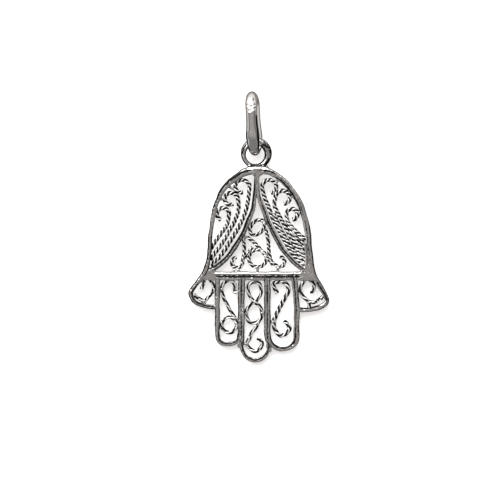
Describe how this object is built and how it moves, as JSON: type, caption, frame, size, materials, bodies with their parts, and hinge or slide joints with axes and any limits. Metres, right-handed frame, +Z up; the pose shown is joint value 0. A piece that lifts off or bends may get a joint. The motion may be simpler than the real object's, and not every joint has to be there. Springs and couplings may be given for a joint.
{
  "type": "hamsa pendant",
  "caption": "Open hand of silver wire with twisted-wire scrolls, a soldered top loop and an oval bail that a chain passes through, lying on its back.",
  "frame": {"origin": "under the middle of the pendant, on the flat surface that it lies on", "axes": "+X to the right of the hand as seen from above, +Y from the fingers to the bail, +Z up"},
  "size_m": [0.0155, 0.0298, 0.0043],
  "materials": {
    "bail_silver": "polished silver",
    "frame_silver": "polished silver, lightly worn",
    "twisted_silver": "twisted silver wire, darker in its grooves"
  },
  "bodies": {
    "root": {"bail": "bail_silver", "hand": "frame_silver"}
  },
  "joints": []
}
